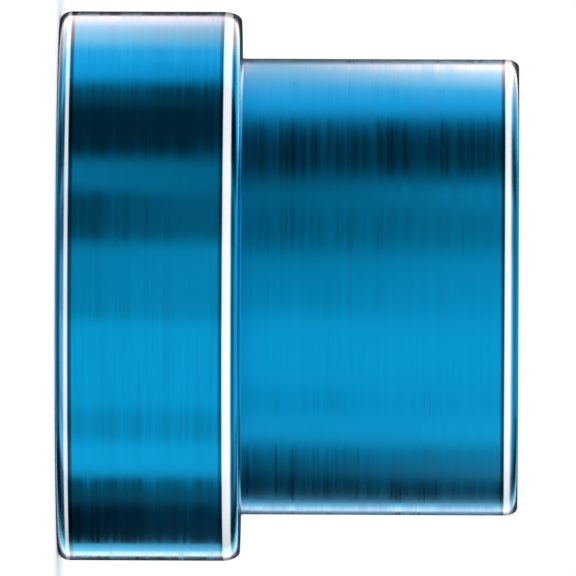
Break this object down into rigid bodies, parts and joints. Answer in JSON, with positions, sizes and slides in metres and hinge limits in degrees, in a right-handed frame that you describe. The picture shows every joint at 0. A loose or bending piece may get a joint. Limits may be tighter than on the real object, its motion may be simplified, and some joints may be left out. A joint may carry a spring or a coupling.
{
  "type": "tube sleeve",
  "caption": "Turned sleeve for a 37 degree flared tube: a wide collar with a flare seat inside, a shoulder for the coupling nut and a plain thin skirt.",
  "frame": {"origin": "centre of the collar's front face, the face that the sleeve stands on", "axes": "+Z along the axis from the collar's front face towards the skirt's end"},
  "size_m": [0.0172, 0.0172, 0.0143],
  "materials": {
    "anodised_blue": "fine turned aluminium, anodised clear bright blue, paler along the edges"
  },
  "bodies": {
    "root": {"sleeve": "anodised_blue"}
  },
  "joints": []
}
